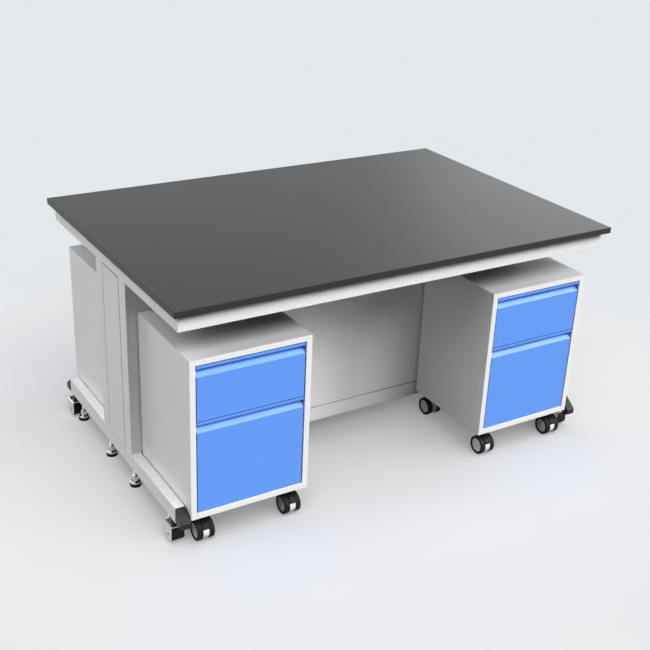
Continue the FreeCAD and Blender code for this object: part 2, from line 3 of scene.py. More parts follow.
import bmesh
import bpy
from mathutils import Matrix, Vector


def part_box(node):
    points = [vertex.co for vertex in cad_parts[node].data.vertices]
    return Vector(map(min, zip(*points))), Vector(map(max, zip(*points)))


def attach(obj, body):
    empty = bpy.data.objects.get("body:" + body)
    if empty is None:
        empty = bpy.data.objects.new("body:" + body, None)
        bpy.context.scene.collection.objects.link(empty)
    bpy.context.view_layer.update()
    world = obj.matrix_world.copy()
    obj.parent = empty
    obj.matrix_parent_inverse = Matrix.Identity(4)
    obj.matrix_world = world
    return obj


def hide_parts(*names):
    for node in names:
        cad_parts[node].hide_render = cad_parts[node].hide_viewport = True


# Lab island bench: its looks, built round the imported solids.
# Lengths are in millimetres, and turn into metres where they reach a mesh or the stage.

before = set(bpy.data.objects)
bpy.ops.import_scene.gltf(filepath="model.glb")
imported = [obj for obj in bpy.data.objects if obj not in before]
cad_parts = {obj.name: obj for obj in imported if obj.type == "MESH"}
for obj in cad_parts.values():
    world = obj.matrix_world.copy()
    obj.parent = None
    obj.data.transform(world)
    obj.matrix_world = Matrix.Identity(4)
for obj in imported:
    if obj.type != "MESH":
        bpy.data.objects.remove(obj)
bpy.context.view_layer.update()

MM = 0.001
SMOOTH_ANGLE = math.radians(10)
TURN_STEPS = 48
EDGE_STEPS = 2
EASE_STEPS = 3
ROUND_PROFILE_SHARE = 0.5
HEXAGON_SIDES = 6
IDENTITY = Matrix.Identity(4)

# Worktop and frame tubes
WORKTOP_EDGE = 1.2
TUBE_WIDTH = 30
TUBE_HEIGHT = 50
TUBE_WALL = 2
TUBE_CORNER = 1.4
CORNER_STEPS = 3
SPINE_TUBE_Y = 100
POST_Y = 90
PANEL = 18
INFILL = 15
SEAM = 2.4
# The dark rubber strips in the seams of the infill and spine panels paint the shade of those seams.
SHADE_STRIP_INSET = 0.3
SEAM_EDGE = 0.4

# Caps of the foot rails
CAP_LENGTH = 42
CAP_NOSE = 18.5
CAP_EDGE = 1.6
PLUG_LENGTH = 15
PLUG_INSET = 2.2

# Levelling feet
FOOT_X = 717
FOOT_YS = (100, 360)
PAD_RADIUS = 17.5
PAD_HEIGHT = 9
PAD_GROOVE = 0.8
PAD_SHOULDER = 1
PAD_EASE = 0.6
DOME_RADIUS = 15.5
DOME_EDGE = 6
DOME_TOP = 18
STEM_RADIUS = 5
STEM_TOP = 84.5
FOOT_EASE = 1.2
NUT_ACROSS = 17
NUT_HEIGHT = 18
NUT_CHAMFER = 1.6
THREAD_TURNS = 26
THREAD_RIDGE = 0.55
THREAD_RIDGE_SIDES = 4
THREAD_STEPS = 24
THREAD_END_GAP = 1

# Fixed castors at the rail ends
BENCH_CASTOR_X = 723
BENCH_CASTOR_Y = 408
BENCH_AXLE_Z = 25
BENCH_WHEEL_WIDTH = 38
BENCH_HUB_RADIUS = 14
BENCH_HUB_RECESS = 3
TREAD_EDGE = 2
TREAD_GROOVE = 0.7
TREAD_GROOVE_WIDTH = 1.6
FORK_HALF_GAP = 20
FORK_PLATE = 2.5
FORK_HALF_LENGTH = 25
FORK_BOTTOM = 8
FORK_BRIDGE = 54
FORK_CORNER = 14
FORK_CORNER_STEPS = 6
FORK_EDGE = 0.5
FORK_BEND = 2.2
RAIL_BOTTOM = 70.5
BOSS_RADIUS = 13
BOSS_COLLAR_RADIUS = 11
BOSS_STEP = 1
BOSS_EASE = 0.8
BENCH_AXLE_RADIUS = 4
BOLT_ACROSS = 13
BOLT_HEAD = 3.5
BOLT_CHAMFER = 0.9
WASHER_RADIUS = 7
WASHER_HEIGHT = 1

# Pedestals
PEDESTAL_WIDTH = 375
BOARD = 18
BACK_BOARD = 12
BOARD_EDGE = 0.8
TOP_SHEET = 1
TOP_SHEET_EDGE = 0.3
PEDESTAL_LOW = 87
PEDESTAL_TOP = 587
OPENING_LOW = 105
OPENING_SPLIT = 394
OPENING_TOP = 569
FRONT_SETBACK = 1
FRONT_GAP = 3
FRONT_SPLIT = 396.5
FRONT_SPLIT_GAP = 1.2
FRONT_EDGE = 0.7
PULL_BEVEL = 15
PULL_FLOOR = 13
PULL_STRIP = 3
PULL_STRIP_HEIGHT = 8.5
PULL_MOUTH = 24
# Dark navy strips round each drawer front paint the shade in the gaps round it.
FRONT_SHADE_STRIP = 1
FRONT_SHADE_STRIP_INSET = 1
FRONT_SHADE_STRIP_DEPTH = 3
FRONT_SHADE_STRIP_EDGE = 0.2
DRAWER_SIDE = 12
DRAWER_FLOOR = 5
DRAWER_LIFT = 15
DRAWER_HEADROOM = 45
DRAWER_BACK_GAP = 6
RUNNER_SPACE = 12.7
RUNNER_OFFSET = 30
RUNNER_BAR_HEIGHT = 26
RUNNER_BAR_WIDTH = 9
RUNNER_BAR_EDGE = 1.2
RUNNER_WALL = 1.5
RUNNER_CLEARANCE = 0.3
RUNNER_FLANGE = 9
RUNNER_EDGE = 0.3

# Castors of the pedestals: where the stems stand from a pedestal's middle, then the castor's own sizes
CASTOR_X = 141
CASTOR_Y = 138
CASTOR_TRAIL = 9
CASTOR_RADIUS = 31
CASTOR_HALF_WIDTH = 26
CASTOR_HALF_GAP = 10
HUB_RADIUS = 22.5
HUB_RECESS = 2
HUB_RIM = 2.2
HUB_RIM_DEPTH = 0.7
HUB_CAP_RADIUS = 6
HUB_CAP_HEIGHT = 1.2
HUB_CAP_CHAMFER = 1
HUB_CLEARANCE = 0.5
HUB_EASE = 0.5
HUB_AXLE_LAP = 1
CASTOR_AXLE_RADIUS = 4
HOUSING_RADIUS = 29
HOUSING_HALF_WIDTH = 9
HOUSING_EDGE = 1.4
NECK_HALF = 12
NECK_TOP = 79
SLEEVE = 0.8
SLEEVE_LOW = 56
HOOD_RADIUS = 33
HOOD_INSIDE = 28
HOOD_EDGE = 1.6
HOOD_LOW_ANGLE = math.radians(24)
HOOD_HIGH_ANGLE = math.radians(80)
CASTOR_BOSS_RADIUS = 14
CASTOR_STEM_RADIUS = 5.5
CASTOR_STEM_TOP = 101
CASTOR_STEM_EASE = 0.8
ARC_STEPS = 32


# Finishes, each with its own grain, sheen and surface

NOISE_LOW_SHARE = 0.32
NOISE_HIGH_SHARE = 0.68
NOISE_DETAIL = 3
EVEN_GRAIN = (1, 1, 1)
LONG_STREAKS = (0.06, 1, 1)


def noise(tree, grain, stretch=EVEN_GRAIN):
    """Noise whose grains are about so many millimetres across, fixed to the piece."""
    place = tree.nodes.new("ShaderNodeTexCoord")
    mapping = tree.nodes.new("ShaderNodeMapping")
    mapping.inputs["Scale"].default_value = stretch
    texture = tree.nodes.new("ShaderNodeTexNoise")
    texture.inputs["Scale"].default_value = 1 / (grain * MM)
    texture.inputs["Detail"].default_value = NOISE_DETAIL
    tree.links.new(place.outputs["Object"], mapping.inputs["Vector"])
    tree.links.new(mapping.outputs["Vector"], texture.inputs["Vector"])
    return texture.outputs["Fac"]


def spread(tree, value, low, high):
    """Lets a noise run between two numbers."""
    node = tree.nodes.new("ShaderNodeMapRange")
    node.inputs["From Min"].default_value = NOISE_LOW_SHARE
    node.inputs["From Max"].default_value = NOISE_HIGH_SHARE
    node.inputs["To Min"].default_value = low
    node.inputs["To Max"].default_value = high
    tree.links.new(value, node.inputs["Value"])
    return node.outputs["Result"]


def tint(tree, value, dark, light):
    """Lets a noise run between two colours."""
    ramp = tree.nodes.new("ShaderNodeValToRGB")
    for element, share, colour in zip(
        ramp.color_ramp.elements, (NOISE_LOW_SHARE, NOISE_HIGH_SHARE), (dark, light)
    ):
        element.position = share
        element.color = (*colour, 1)
    tree.links.new(value, ramp.inputs["Fac"])
    return ramp.outputs["Color"]


def make_finish(
    name, dark, light, grain, smooth, rough, patch, relief, depth, stretch=EVEN_GRAIN, **constants
):
    """A finish whose colour runs between two close ones in grains, and whose roughness runs between
    smooth and rough in patches, over a shallow relief. Grain, patch, relief and depth are in
    millimetres, and the constants go straight to the shader."""
    finish = bpy.data.materials.new(name)
    finish.use_nodes = True
    tree = finish.node_tree
    shader = tree.nodes["Principled BSDF"]
    for socket, number in constants.items():
        shader.inputs[socket.replace("_", " ")].default_value = number
    grains = noise(tree, grain, stretch)
    tree.links.new(tint(tree, grains, dark, light), shader.inputs["Base Color"])
    patches = noise(tree, patch, stretch)
    tree.links.new(spread(tree, patches, smooth, rough), shader.inputs["Roughness"])
    bump = tree.nodes.new("ShaderNodeBump")
    bump.inputs["Distance"].default_value = depth * MM
    tree.links.new(noise(tree, relief, stretch), bump.inputs["Height"])
    tree.links.new(bump.outputs["Normal"], shader.inputs["Normal"])
    return finish


resin = make_finish(
    "dark_resin",
    dark=(0.052, 0.052, 0.052),
    light=(0.062, 0.062, 0.062),
    grain=2,
    smooth=0.33,
    rough=0.36,
    patch=4,
    relief=2,
    depth=0.01,
    Specular_IOR_Level=0.28,
)
paint = make_finish(
    "white_powder_coat",
    dark=(0.86, 0.86, 0.86),
    light=(0.95, 0.95, 0.95),
    grain=3,
    smooth=0.42,
    rough=0.55,
    patch=40,
    relief=1.6,
    depth=0.05,
)
board = make_finish(
    "white_faced_board",
    dark=(0.85, 0.85, 0.85),
    light=(0.95, 0.95, 0.95),
    grain=3,
    smooth=0.40,
    rough=0.52,
    patch=60,
    relief=1.2,
    depth=0.03,
)
lacquer = make_finish(
    "blue_lacquer",
    dark=(0.130, 0.338, 0.95),
    light=(0.140, 0.353, 0.98),
    grain=4,
    smooth=0.34,
    rough=0.42,
    patch=50,
    relief=1.5,
    depth=0.02,
    Specular_IOR_Level=0.35,
)
plastic = make_finish(
    "black_moulding",
    dark=(0.009, 0.009, 0.010),
    light=(0.017, 0.017, 0.018),
    grain=2,
    smooth=0.4,
    rough=0.55,
    patch=12,
    relief=0.8,
    depth=0.04,
    Specular_IOR_Level=0.25,
)
matt_black = make_finish(
    "matt_black_moulding",
    dark=(0.005, 0.005, 0.006),
    light=(0.010, 0.010, 0.011),
    grain=2,
    smooth=0.45,
    rough=0.58,
    patch=12,
    relief=0.8,
    depth=0.04,
    Specular_IOR_Level=0.12,
)
rubber = make_finish(
    "black_rubber",
    dark=(0.005, 0.005, 0.006),
    light=(0.011, 0.011, 0.012),
    grain=3,
    smooth=0.55,
    rough=0.75,
    patch=15,
    relief=0.9,
    depth=0.06,
    Specular_IOR_Level=0.2,
)
# Dark navy that paints the shade in the gaps round the drawer fronts.
navy_shade = make_finish(
    "navy_seal",
    dark=(0.006, 0.013, 0.040),
    light=(0.010, 0.020, 0.060),
    grain=3,
    smooth=0.55,
    rough=0.75,
    patch=15,
    relief=0.9,
    depth=0.04,
    Specular_IOR_Level=0.2,
)
grey = make_finish(
    "grey_hub",
    dark=(0.80, 0.80, 0.80),
    light=(0.88, 0.88, 0.88),
    grain=3,
    smooth=0.4,
    rough=0.55,
    patch=10,
    relief=0.9,
    depth=0.03,
)
white = make_finish(
    "white_moulding",
    dark=(0.84, 0.84, 0.84),
    light=(0.93, 0.93, 0.93),
    grain=4,
    smooth=0.28,
    rough=0.4,
    patch=12,
    relief=1,
    depth=0.02,
)
chrome = make_finish(
    "bright_chrome",
    dark=(0.60, 0.595, 0.58),
    light=(0.74, 0.73, 0.71),
    grain=6,
    smooth=0.06,
    rough=0.16,
    patch=8,
    relief=3,
    depth=0.01,
    Metallic=1,
)
steel = make_finish(
    "zinc_steel",
    dark=(0.52, 0.53, 0.54),
    light=(0.66, 0.67, 0.68),
    grain=2,
    smooth=0.28,
    rough=0.42,
    patch=6,
    relief=1,
    depth=0.02,
    stretch=LONG_STREAKS,
    Metallic=1,
)


# Meshes

def finish_mesh(bm, name):
    """Turns the work mesh into a finished one in metres, faces outwards, round faces smooth."""
    bmesh.ops.recalc_face_normals(bm, faces=bm.faces)
    mesh = bpy.data.meshes.new(name)
    bm.to_mesh(mesh)
    bm.free()
    mesh.transform(Matrix.Scale(MM, 4))
    mesh.shade_smooth()
    mesh.set_sharp_from_angle(angle=SMOOTH_ANGLE)
    return mesh


def add_piece(name, mesh, finish, body, slot, *nodes):
    """A piece that rides on a body, has a finish, and may stand for solids."""
    mesh.materials.clear()
    mesh.materials.append(finish)
    piece = bpy.data.objects.new(name, mesh)
    bpy.context.scene.collection.objects.link(piece)
    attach(piece, body)
    if nodes:
        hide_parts(*nodes)
    return piece


def placed(mesh, place):
    """A copy of a finished mesh, moved by a matrix in millimetres."""
    copy = mesh.copy()
    shift = place.copy()
    shift.translation = place.translation * MM
    copy.transform(shift)
    return copy


def box_mm(node):
    """The low and high corners of a solid's box, in millimetres."""
    low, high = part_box(node)
    return low / MM, high / MM


def ease_edges(bm, corners, width):
    """Rounds off every edge that meets these corners."""
    edges = {edge for corner in corners for edge in corner.link_edges}
    bmesh.ops.bevel(
        bm,
        geom=list(edges),
        offset=width,
        segments=EDGE_STEPS,
        profile=ROUND_PROFILE_SHARE,
        affect="EDGES",
        clamp_overlap=True,
    )


def add_board(bm, low, high, edge=BOARD_EDGE):
    """A board between two corners, with eased edges."""
    low, high = Vector(low), Vector(high)
    place = Matrix.Translation((low + high) / 2) @ Matrix.Diagonal((*(high - low), 1))
    corners = bmesh.ops.create_cube(bm, size=1, matrix=place)["verts"]
    ease_edges(bm, corners, edge)


def bridge(bm, ring, other):
    """Faces from each side of a ring to the same side of another."""
    for i in range(len(ring)):
        j = (i + 1) % len(ring)
        bm.faces.new((ring[i], ring[j], other[j], other[i]))


def close_ends(bm, rings):
    """Joins two rings and closes both of them. Gives their corners."""
    bridge(bm, *rings)
    for ring in rings:
        bm.faces.new(ring)
    return [corner for ring in rings for corner in ring]


def add_prism(bm, outline, half_width, edge):
    """An outline of (depth, height) points drawn out along X to both sides, with eased edges."""
    rings = [[bm.verts.new((x, y, z)) for y, z in outline] for x in (-half_width, half_width)]
    ease_edges(bm, close_ends(bm, rings), edge)


def add_bar(bm, section, near, far):
    """A section of (x, height) points drawn out along Y. Gives its corners."""
    rings = [[bm.verts.new((x, y, z)) for x, z in section] for y in (near, far)]
    return close_ends(bm, rings)


def rounded_outline(half_u, half_v, radius):
    """The corners of a rectangle with rounded corners, about its middle."""
    points = []
    for quarter, (u, v) in enumerate(((1, 1), (-1, 1), (-1, -1), (1, -1))):
        for step in range(CORNER_STEPS + 1):
            angle = (quarter + step / CORNER_STEPS) * math.pi / 2
            points.append(
                (
                    u * (half_u - radius) + radius * math.cos(angle),
                    v * (half_v - radius) + radius * math.sin(angle),
                )
            )
    return points


def add_tube(bm, start, end, across, half_u, half_v, mitre=0):
    """A hollow rectangular tube with rounded corners. A mitre of 1 draws its ends out on the
    across side."""
    start, end, across = Vector(start), Vector(end), Vector(across)
    axis = (end - start).normalized()
    up = axis.cross(across)
    rings = []
    for inset in (0, TUBE_WALL):
        radius = max(TUBE_CORNER - inset, TUBE_CORNER / 2)
        outline = rounded_outline(half_u - inset, half_v - inset, radius)
        for point, way in ((start, -1), (end, 1)):
            rings.append(
                [bm.verts.new(point + u * across + v * up + way * mitre * u * axis) for u, v in outline]
            )
    outer_start, outer_end, inner_start, inner_end = rings
    bridge(bm, outer_start, outer_end)
    bridge(bm, inner_end, inner_start)
    bridge(bm, inner_start, outer_start)
    bridge(bm, outer_end, inner_end)


def eased(points, ease, steps=EASE_STEPS):
    """A run of points with each inner corner rounded off."""
    run = [points[0]]
    for before, corner, after in zip(points, points[1:], points[2:]):
        before, corner, after = Vector(before), Vector(corner), Vector(after)
        reach = min(ease, (before - corner).length / 2, (after - corner).length / 2)
        first = corner + (before - corner).normalized() * reach
        last = corner + (after - corner).normalized() * reach
        for step in range(steps + 1):
            share = step / steps
            run.append(first.lerp(corner, share).lerp(corner.lerp(last, share), share))
    run.append(points[-1])
    return [tuple(point) for point in run]


def add_lathe(bm, profile, place=IDENTITY, steps=TURN_STEPS):
    """Turns a profile of (radius, height) points about the upright axis. A profile that ends
    off the axis is closed into a ring."""
    angles = [2 * math.pi * step / steps for step in range(steps)]
    rings = []
    for radius, height in profile:
        around = angles if radius else angles[:1]
        points = [Vector((radius * math.cos(a), radius * math.sin(a), height)) for a in around]
        rings.append([bm.verts.new(place @ point) for point in points])
    pairs = list(zip(rings, rings[1:]))
    if len(rings[0]) > 1:
        pairs.append((rings[-1], rings[0]))
    for ring, other in pairs:
        for i in range(steps):
            j = (i + 1) % steps
            corners = [ring[i % len(ring)], ring[j % len(ring)]]
            corners += [other[j % len(other)], other[i % len(other)]]
            bm.faces.new(list(dict.fromkeys(corners)))


def add_hexagon(bm, across, bottom, top, chamfer, place=IDENTITY):
    """A hexagon head or nut, the corners of both faces turned off."""
    corner_radius = across / math.sqrt(3)
    levels = (
        (corner_radius - chamfer, bottom),
        (corner_radius, bottom + chamfer / 2),
        (corner_radius, top - chamfer / 2),
        (corner_radius - chamfer, top),
    )
    add_lathe(bm, [(0, bottom), *levels, (0, top)], place, steps=HEXAGON_SIDES)


# Growing rules: what follows a path, and what repeats

def new_tree(name, inputs):
    """An empty tree of geometry nodes with named inputs."""
    tree = bpy.data.node_groups.new(name, "GeometryNodeTree")
    tree.interface.new_socket(name="Geometry", in_out="OUTPUT", socket_type="NodeSocketGeometry")
    for label, kind in inputs.items():
        tree.interface.new_socket(name=label, in_out="INPUT", socket_type=kind)
    return tree, tree.nodes.new("NodeGroupInput").outputs


def end_tree(tree, geometry, finish):
    """Ends a tree with real geometry in one finish."""
    real = tree.nodes.new("GeometryNodeRealizeInstances")
    painted = tree.nodes.new("GeometryNodeSetMaterial")
    result = tree.nodes.new("NodeGroupOutput")
    tree.links.new(geometry, real.inputs["Geometry"])
    tree.links.new(real.outputs["Geometry"], painted.inputs["Geometry"])
    tree.links.new(finish, painted.inputs["Material"])
    tree.links.new(painted.outputs["Geometry"], result.inputs["Geometry"])


def make_thread_tree():
    """A screw thread: a small ridge that follows a spiral up a stem."""
    tree, given = new_tree(
        "screw_thread",
        {
            "Turns": "NodeSocketFloat",
            "Steps in a turn": "NodeSocketInt",
            "Radius": "NodeSocketFloat",
            "Height": "NodeSocketFloat",
            "Ridge": "NodeSocketFloat",
            "Finish": "NodeSocketMaterial",
        },
    )
    spiral = tree.nodes.new("GeometryNodeCurveSpiral")
    ridge = tree.nodes.new("GeometryNodeCurvePrimitiveCircle")
    ridge.inputs["Resolution"].default_value = THREAD_RIDGE_SIDES
    sweep = tree.nodes.new("GeometryNodeCurveToMesh")
    sweep.inputs["Fill Caps"].default_value = True
    tree.links.new(given["Turns"], spiral.inputs["Rotations"])
    tree.links.new(given["Steps in a turn"], spiral.inputs["Resolution"])
    tree.links.new(given["Radius"], spiral.inputs["Start Radius"])
    tree.links.new(given["Radius"], spiral.inputs["End Radius"])
    tree.links.new(given["Height"], spiral.inputs["Height"])
    tree.links.new(given["Ridge"], ridge.inputs["Radius"])
    tree.links.new(spiral.outputs["Curve"], sweep.inputs["Curve"])
    tree.links.new(ridge.outputs["Curve"], sweep.inputs["Profile Curve"])
    end_tree(tree, sweep.outputs["Mesh"], given["Finish"])
    return tree


def make_copies_tree():
    """Copies of one piece at every point, turned about the upright by the point's own turn."""
    tree, given = new_tree(
        "set_out_copies",
        {"Points": "NodeSocketGeometry", "Piece": "NodeSocketObject", "Finish": "NodeSocketMaterial"},
    )
    piece = tree.nodes.new("GeometryNodeObjectInfo")
    turn = tree.nodes.new("GeometryNodeInputNamedAttribute")
    turn.data_type = "FLOAT"
    turn.inputs["Name"].default_value = "turn"
    upright = tree.nodes.new("ShaderNodeCombineXYZ")
    copies = tree.nodes.new("GeometryNodeInstanceOnPoints")
    tree.links.new(given["Piece"], piece.inputs["Object"])
    tree.links.new(given["Points"], copies.inputs["Points"])
    tree.links.new(piece.outputs["Geometry"], copies.inputs["Instance"])
    tree.links.new(turn.outputs["Attribute"], upright.inputs["Z"])
    tree.links.new(upright.outputs["Vector"], copies.inputs["Rotation"])
    end_tree(tree, copies.outputs["Instances"], given["Finish"])
    return tree


def grow(tree, seed, values):
    """The plain mesh that a tree makes from a seed mesh and its inputs' values."""
    host = bpy.data.objects.new("host", seed)
    bpy.context.scene.collection.objects.link(host)
    modifier = host.modifiers.new("growth", "NODES")
    modifier.node_group = tree
    for item in tree.interface.items_tree:
        if item.in_out == "INPUT" and item.name in values:
            modifier[item.identifier] = values[item.name]
    graph = bpy.context.evaluated_depsgraph_get()
    mesh = bpy.data.meshes.new_from_object(host.evaluated_get(graph), depsgraph=graph)
    bpy.data.objects.remove(host)
    return mesh


thread_tree = make_thread_tree()
copies_tree = make_copies_tree()


def set_out(mesh, places, finish):
    """One mesh with a copy at each place, given as (x, y, z, turn) in millimetres and radians."""
    points = bpy.data.meshes.new("places")
    points.from_pydata([Vector(place[:3]) * MM for place in places], [], [])
    turns = points.attributes.new("turn", "FLOAT", "POINT")
    turns.data.foreach_set("value", [place[3] for place in places])
    pattern = bpy.data.objects.new("pattern", mesh)
    bpy.context.scene.collection.objects.link(pattern)
    copies = grow(copies_tree, points, {"Piece": pattern, "Finish": finish})
    bpy.data.objects.remove(pattern)
    copies.shade_smooth()
    copies.set_sharp_from_angle(angle=SMOOTH_ANGLE)
    return copies


# Worktop, frame and panels

def make_worktop():
    bm = bmesh.new()
    add_board(bm, *box_mm("worktop"), edge=WORKTOP_EDGE)
    mesh = finish_mesh(bm, "resin_worktop")
    return add_piece("resin_worktop", mesh, resin, "bench", "worktop_resin", "worktop")


def make_top_frame():
    low, high = box_mm("top_frame")
    half_u, half_v = TUBE_WIDTH / 2, TUBE_HEIGHT / 2
    x, y, z = high.x - half_u, high.y - half_u, (low.z + high.z) / 2
    bm = bmesh.new()
    for side in (-1, 1):
        add_tube(bm, (-x, side * y, z), (x, side * y, z), (0, side, 0), half_u, half_v, mitre=1)
        add_tube(bm, (side * x, -y, z), (side * x, y, z), (side, 0, 0), half_u, half_v, mitre=1)
        inside, spine_y = high.x - TUBE_WIDTH, side * SPINE_TUBE_Y
        add_tube(bm, (-inside, spine_y, z), (inside, spine_y, z), (0, side, 0), half_u, half_v)
    name = "top_frame_tubes"
    add_piece(name, finish_mesh(bm, name), paint, "bench", "frame_paint", "top_frame")


def make_end_frame(end):
    low, high = box_mm("end_frame_" + end)
    half_u, half_v = TUBE_WIDTH / 2, TUBE_HEIGHT / 2
    x, rail_z, rail_top = (low.x + high.x) / 2, low.z + half_v, low.z + TUBE_HEIGHT
    bm = bmesh.new()
    add_tube(bm, (x, low.y, rail_z), (x, high.y, rail_z), (1, 0, 0), half_u, half_v)
    for side in (-1, 1):
        add_tube(bm, (x, side * POST_Y, rail_top), (x, side * POST_Y, high.z), (1, 0, 0), half_u, half_v)
    name = end + "_end_tubes"
    add_piece(name, finish_mesh(bm, name), paint, "bench", "frame_paint", "end_frame_" + end)


def make_stretchers():
    low, high = box_mm("lower_stretchers")
    z = (low.z + high.z) / 2
    bm = bmesh.new()
    for side in (-1, 1):
        y = side * SPINE_TUBE_Y
        add_tube(bm, (low.x, y, z), (high.x, y, z), (0, side, 0), TUBE_WIDTH / 2, TUBE_HEIGHT / 2)
    name = "stretcher_tubes"
    add_piece(name, finish_mesh(bm, name), paint, "bench", "frame_paint", "lower_stretchers")


def make_infill():
    """A flush panel between the posts of each end, in a seam lined with dark rubber strips, which paint
    the shade in the seam.
    """
    low, high = box_mm("end_infill_panels")
    panels, shade_strips = bmesh.new(), bmesh.new()
    for side in (-1, 1):
        xs = sorted((side * high.x, side * (high.x - INFILL)))
        inner = (xs[0], low.y + SEAM, low.z + SEAM), (xs[1], high.y - SEAM, high.z - SEAM)
        add_board(panels, *inner, edge=SEAM_EDGE)
        # Dark rubber strips round the panel, painted shade in its seam.
        xs = sorted((side * (high.x - SHADE_STRIP_INSET), side * (high.x - INFILL)))
        for y in (low.y, high.y - SEAM):
            add_board(shade_strips, (xs[0], y, low.z), (xs[1], y + SEAM, high.z), edge=SEAM_EDGE)
        for z in (low.z, high.z - SEAM):
            add_board(shade_strips, (xs[0], low.y + SEAM, z), (xs[1], high.y - SEAM, z + SEAM), edge=SEAM_EDGE)
    name = "infill_boards"
    add_piece(name, finish_mesh(panels, name), board, "bench", "white_board", "end_infill_panels")
    add_piece("infill_seals", finish_mesh(shade_strips, "infill_seals"), rubber, "bench", "black_rubber")


def make_centre_panels():
    """The two panels of the spine, each over a dark rubber strip above its stretcher, which paints the
    shade in the seam.
    """
    low, high = box_mm("centre_panels")
    panels, shade_strips = bmesh.new(), bmesh.new()
    for side in (-1, 1):
        ys = sorted((side * high.y, side * (high.y - PANEL)))
        add_board(panels, (low.x, ys[0], low.z + SEAM), (high.x, ys[1], high.z), edge=SEAM_EDGE)
        # A dark rubber strip under the panel, painted shade in the seam above the stretcher.
        ys = sorted((side * (high.y - SHADE_STRIP_INSET), side * (high.y - PANEL)))
        add_board(shade_strips, (low.x, ys[0], low.z), (high.x, ys[1], low.z + SEAM), edge=SEAM_EDGE)
    name = "spine_boards"
    add_piece(name, finish_mesh(panels, name), board, "bench", "white_board", "centre_panels")
    add_piece("spine_seals", finish_mesh(shade_strips, "spine_seals"), rubber, "bench", "black_rubber")


def make_rail_caps():
    bm = bmesh.new()
    wedge = [(0, 0), (-CAP_LENGTH, 0), (-CAP_LENGTH, CAP_NOSE), (0, TUBE_HEIGHT)]
    add_prism(bm, wedge, TUBE_WIDTH / 2, CAP_EDGE)
    half_plug = TUBE_WIDTH / 2 - PLUG_INSET
    add_board(bm, (-half_plug, 0, PLUG_INSET), (half_plug, PLUG_LENGTH, TUBE_HEIGHT - PLUG_INSET))
    low, high = box_mm("foot_rail_caps")
    x, y = high.x - TUBE_WIDTH / 2, high.y - CAP_LENGTH
    places = []
    for side in (-1, 1):
        places.append((side * x, -y, low.z, 0))
        places.append((side * x, y, low.z, math.pi))
    caps = set_out(finish_mesh(bm, "cap"), places, plastic)
    add_piece("rail_caps", caps, plastic, "bench", "black_plastic", "foot_rail_caps")


# Levelling feet

def make_levelling_feet():
    bm = bmesh.new()
    stem = [
        (0, PAD_HEIGHT),
        (DOME_RADIUS, PAD_HEIGHT),
        (DOME_RADIUS, PAD_HEIGHT + DOME_EDGE),
        (STEM_RADIUS + THREAD_RIDGE, DOME_TOP),
        (STEM_RADIUS - THREAD_RIDGE, DOME_TOP),
        (STEM_RADIUS - THREAD_RIDGE, STEM_TOP),
        (0, STEM_TOP),
    ]
    add_lathe(bm, eased(stem, FOOT_EASE))
    add_hexagon(bm, NUT_ACROSS, DOME_TOP, DOME_TOP + NUT_HEIGHT, NUT_CHAMFER)
    thread = grow(
        thread_tree,
        bpy.data.meshes.new("seed"),
        {
            "Turns": float(THREAD_TURNS),
            "Steps in a turn": THREAD_STEPS,
            "Radius": STEM_RADIUS - THREAD_RIDGE,
            "Height": float(STEM_TOP - DOME_TOP - NUT_HEIGHT - THREAD_END_GAP),
            "Ridge": THREAD_RIDGE,
            "Finish": chrome,
        },
    )
    thread.transform(Matrix.Translation((0, 0, DOME_TOP + NUT_HEIGHT)))
    bm.from_mesh(thread)
    foot = finish_mesh(bm, "foot")

    bm = bmesh.new()
    waist = PAD_HEIGHT / 2
    pad = [
        (0, 0),
        (PAD_RADIUS, 0),
        (PAD_RADIUS, waist - PAD_GROOVE),
        (PAD_RADIUS - PAD_GROOVE, waist),
        (PAD_RADIUS, waist + PAD_GROOVE),
        (PAD_RADIUS, PAD_HEIGHT - PAD_SHOULDER),
        (DOME_RADIUS, PAD_HEIGHT),
        (0, PAD_HEIGHT),
    ]
    add_lathe(bm, eased(pad, PAD_EASE))
    sole = finish_mesh(bm, "sole")

    places = [(x, side * y, 0, 0) for x in (-FOOT_X, FOOT_X) for y in FOOT_YS for side in (-1, 1)]
    feet = set_out(foot, places, chrome)
    add_piece("foot_stems", feet, chrome, "bench", "bright_chrome", "levelling_feet")
    soles = set_out(sole, places, rubber)
    add_piece("foot_soles", soles, rubber, "bench", "black_rubber", "levelling_foot_pads")


# Fixed castors at the rail ends

# Turns that lay an upright axis along +X and along -X
TO_RIGHT = Matrix.Rotation(math.pi / 2, 4, "Y")
TO_LEFT = Matrix.Rotation(-math.pi / 2, 4, "Y")


def tread_profile(radius, half_width, inner_radius, grooves):
    """The section of a tyre beside its axis, with grooves round its tread."""
    points = [(inner_radius, -half_width), (radius, -half_width)]
    for share in grooves:
        middle = share * half_width
        half_groove = TREAD_GROOVE_WIDTH / 2
        points.append((radius, middle - half_groove))
        points.append((radius - TREAD_GROOVE, middle - half_groove / 2))
        points.append((radius - TREAD_GROOVE, middle + half_groove / 2))
        points.append((radius, middle + half_groove))
    points += [(radius, half_width), (inner_radius, half_width)]
    return points


BENCH_GROOVE_SHARES = (-0.45, 0, 0.45)
CASTOR_GROOVE_SHARES = (-0.35, 0.35)


